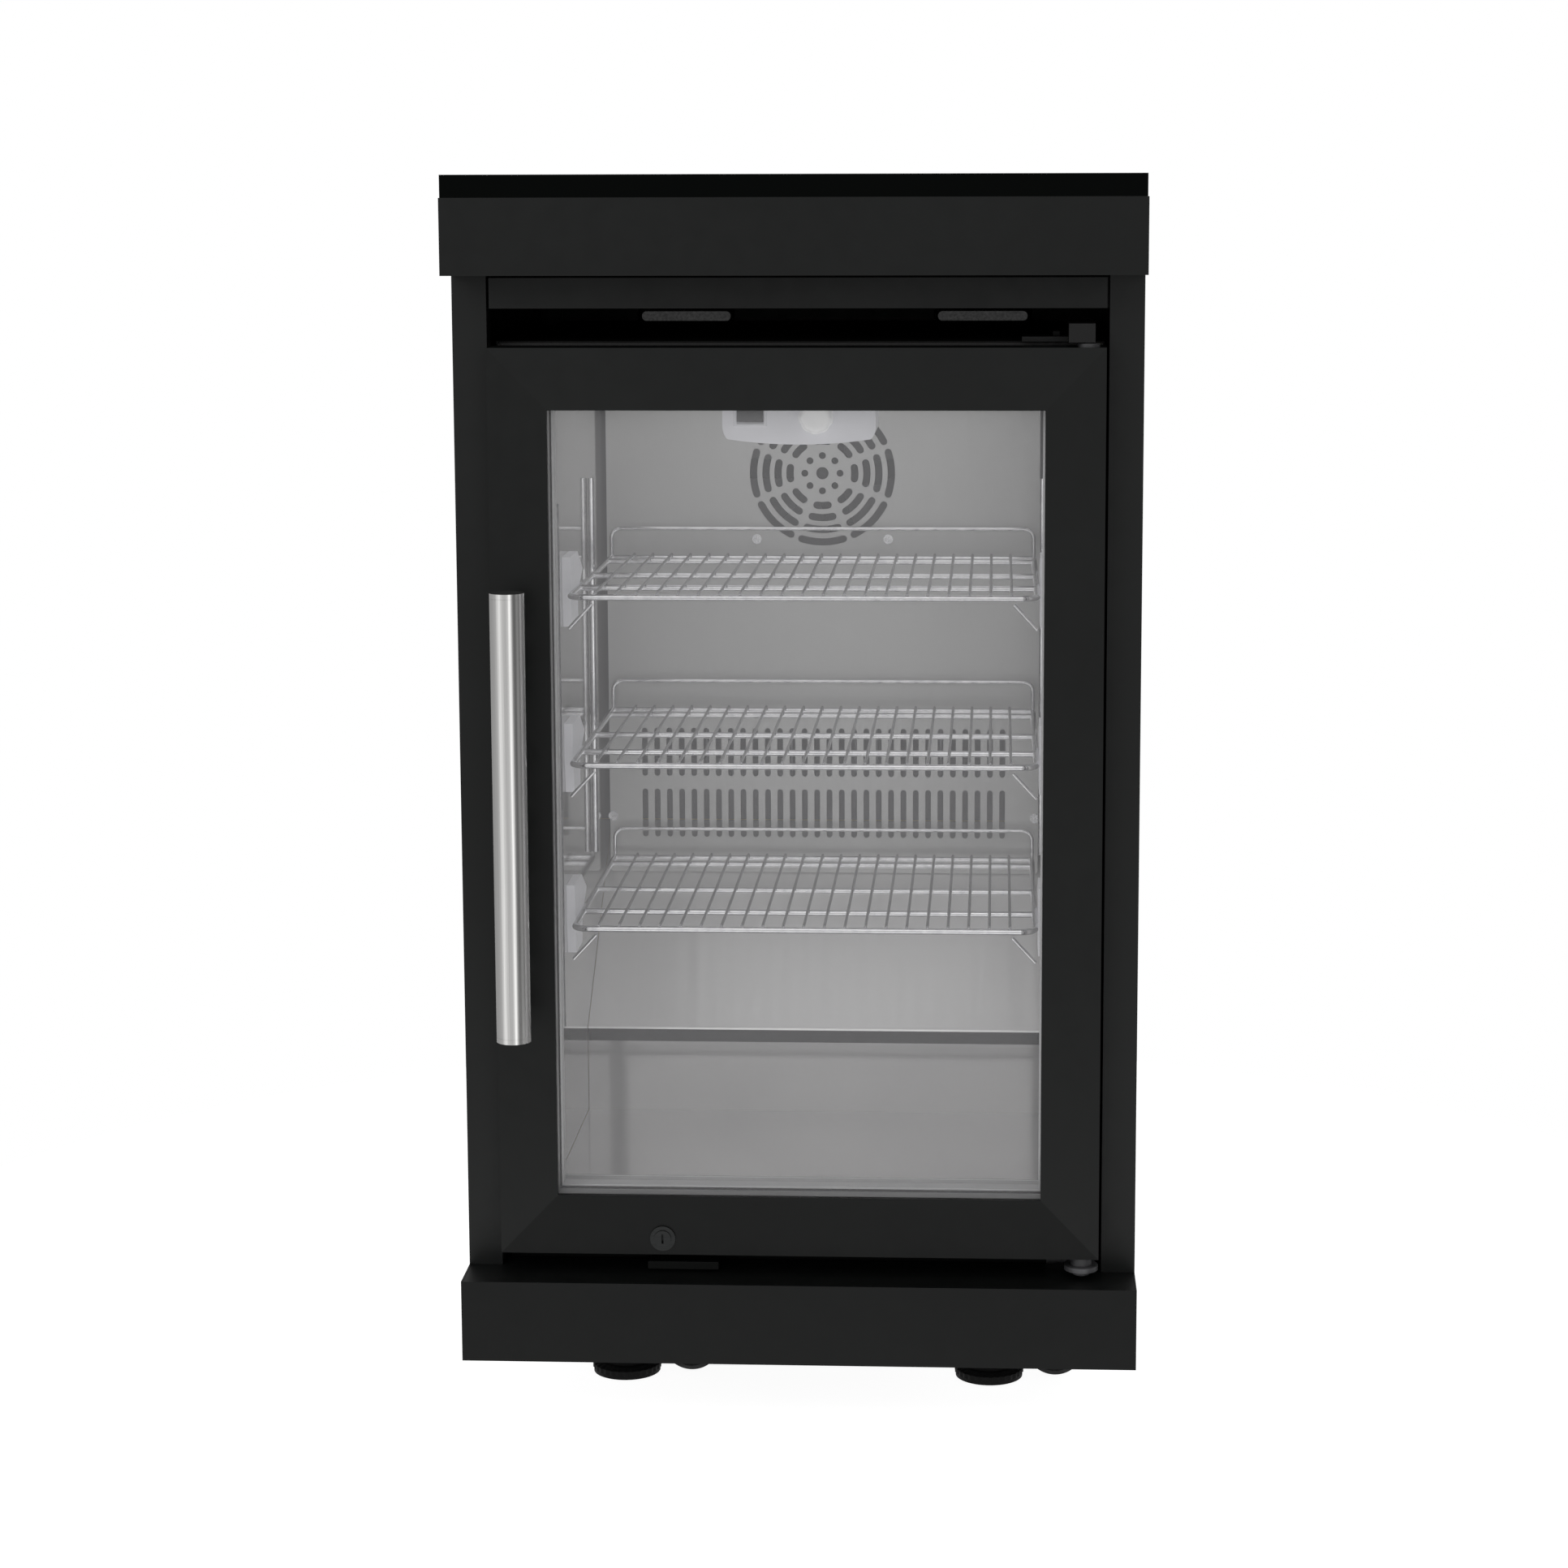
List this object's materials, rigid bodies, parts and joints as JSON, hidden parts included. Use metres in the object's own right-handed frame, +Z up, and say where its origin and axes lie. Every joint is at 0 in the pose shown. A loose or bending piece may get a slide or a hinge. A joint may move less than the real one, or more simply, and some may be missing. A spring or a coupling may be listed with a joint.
{
  "type": "glass door merchandiser",
  "caption": "Undercounter glass door drinks fridge in a black steel cabinet with a stone worktop, wire shelves, bar handle and levelling castors.",
  "frame": {"origin": "middle of the bounding box on the floor", "axes": "+Z up, +Y towards the back, +X to the right seen from the front"},
  "size_m": [0.558, 0.627, 1.032],
  "materials": {
    "stone_black": "gloss",
    "cabinet_black": "satin",
    "fridge_black": "satin",
    "zinc_plate": "satin",
    "screw_steel": "polished",
    "foot_black": "matte",
    "wheel_black": "matte",
    "foam_yellow": "matte",
    "liner_steel": "polished",
    "frame_grey": "satin",
    "duct_steel": "satin",
    "wire_chrome": "polished",
    "white_plastic": "satin",
    "rocker_black": "gloss",
    "fin_aluminium": "satin",
    "condenser_black": "satin",
    "motor_grey": "satin",
    "blade_black": "satin",
    "compressor_black": "satin",
    "hinge_steel": "satin",
    "inlet_black": "matte",
    "door_black": "satin",
    "glass_clear": "polished",
    "spacer_dark": "satin",
    "gasket_black": "matte",
    "handle_steel": "satin",
    "bush_nylon": "matte",
    "lock_dark": "satin"
  },
  "bodies": {
    "cabinet": {"worktop_slab": "stone_black", "header_band": "cabinet_black", "header_strip": "cabinet_black", "side_panel_left": "cabinet_black", "side_panel_right": "cabinet_black", "back_panel": "cabinet_black", "bottom_panel": "cabinet_black", "plinth_frame": "cabinet_black", "fridge_sides": "fridge_black", "fridge_top": "fridge_black", "fridge_base": "fridge_black", "lock_keeper": "fridge_black", "castor_mounts": "zinc_plate", "fridge_back": "zinc_plate", "panel_screws": "screw_steel", "levelling_feet": "foot_black", "insulation_foam": "foam_yellow", "liner_sides": "liner_steel", "liner_ceiling": "liner_steel", "liner_floor": "liner_steel", "liner_hump": "liner_steel", "liner_back": "liner_steel", "front_frame": "frame_grey", "rear_duct_cover": "duct_steel", "shelf_uprights": "wire_chrome", "shelf_lower": "wire_chrome", "shelf_middle": "wire_chrome", "shelf_upper": "wire_chrome", "shelf_fences": "wire_chrome", "shelf_bumpers": "white_plastic", "control_box": "white_plastic", "evaporator_coil": "fin_aluminium", "condenser_coil": "condenser_black", "fan_motor": "motor_grey", "compressor": "compressor_black", "hinge_brackets": "hinge_steel", "power_inlet": "inlet_black"},
    "door": {"door_stile_left": "door_black", "door_stile_right": "door_black", "door_rail_top": "door_black", "door_rail_bottom": "door_black", "glass_panes": "glass_clear", "glass_spacer": "spacer_dark", "door_gasket": "gasket_black", "handle_bar": "handle_steel", "handle_standoffs": "handle_steel", "hinge_bushes": "bush_nylon", "lock_body": "lock_dark"},
    "lock_cylinder": {"lock_cylinder": "lock_dark"},
    "thermostat_knob": {"thermostat_knob": "white_plastic"},
    "light_rocker": {"light_rocker": "rocker_black"},
    "fan_blade": {"fan_blade": "blade_black"},
    "castor_yoke_front_left": {"castor_yoke_front_left": "zinc_plate"},
    "castor_wheel_front_left": {"castor_wheel_front_left": "wheel_black"},
    "castor_yoke_front_right": {"castor_yoke_front_right": "zinc_plate"},
    "castor_wheel_front_right": {"castor_wheel_front_right": "wheel_black"},
    "castor_yoke_rear_left": {"castor_yoke_rear_left": "zinc_plate"},
    "castor_wheel_rear_left": {"castor_wheel_rear_left": "wheel_black"},
    "castor_yoke_rear_right": {"castor_yoke_rear_right": "zinc_plate"},
    "castor_wheel_rear_right": {"castor_wheel_rear_right": "wheel_black"}
  },
  "joints": [
    {"name": "door_hinge", "type": "hinge", "parent": "cabinet", "child": "door", "pos_m": [0.234, -0.2425, 0.5], "axis": [0, 0, 1], "range_deg": [0, 110]},
    {"name": "lock_turn", "type": "hinge", "parent": "door", "child": "lock_cylinder", "pos_m": [-0.113, -0.2435, 0.1585], "axis": [0, 1, 0], "range_deg": [-90, 0]},
    {"name": "thermostat_turn", "type": "hinge", "parent": "cabinet", "child": "thermostat_knob", "pos_m": [0.013, -0.1895, 0.836], "axis": [0, 1, 0], "range_deg": [0, 270]},
    {"name": "light_rock", "type": "hinge", "parent": "cabinet", "child": "light_rocker", "pos_m": [-0.041, -0.1835, 0.841], "axis": [1, 0, 0], "range_deg": [0, 14]},
    {"name": "fan_spin", "type": "hinge", "parent": "cabinet", "child": "fan_blade", "pos_m": [0, 0.1765, 0.761], "axis": [0, 1, 0], "continuous": true},
    {"name": "castor_swivel_front_left", "type": "hinge", "parent": "cabinet", "child": "castor_yoke_front_left", "pos_m": [-0.158, -0.1295, 0.06], "axis": [0, 0, 1], "continuous": true},
    {"name": "castor_roll_front_left", "type": "hinge", "parent": "castor_yoke_front_left", "child": "castor_wheel_front_left", "pos_m": [-0.101, -0.1295, 0.027], "axis": [0, 1, 0], "continuous": true},
    {"name": "castor_swivel_front_right", "type": "hinge", "parent": "cabinet", "child": "castor_yoke_front_right", "pos_m": [0.158, -0.1295, 0.06], "axis": [0, 0, 1], "continuous": true},
    {"name": "castor_roll_front_right", "type": "hinge", "parent": "castor_yoke_front_right", "child": "castor_wheel_front_right", "pos_m": [0.215, -0.1295, 0.027], "axis": [0, 1, 0], "continuous": true},
    {"name": "castor_swivel_rear_left", "type": "hinge", "parent": "cabinet", "child": "castor_yoke_rear_left", "pos_m": [-0.158, 0.2165, 0.06], "axis": [0, 0, 1], "continuous": true},
    {"name": "castor_roll_rear_left", "type": "hinge", "parent": "castor_yoke_rear_left", "child": "castor_wheel_rear_left", "pos_m": [-0.101, 0.2165, 0.027], "axis": [0, 1, 0], "continuous": true},
    {"name": "castor_swivel_rear_right", "type": "hinge", "parent": "cabinet", "child": "castor_yoke_rear_right", "pos_m": [0.158, 0.2165, 0.06], "axis": [0, 0, 1], "continuous": true},
    {"name": "castor_roll_rear_right", "type": "hinge", "parent": "castor_yoke_rear_right", "child": "castor_wheel_rear_right", "pos_m": [0.215, 0.2165, 0.027], "axis": [0, 1, 0], "continuous": true}
  ]
}
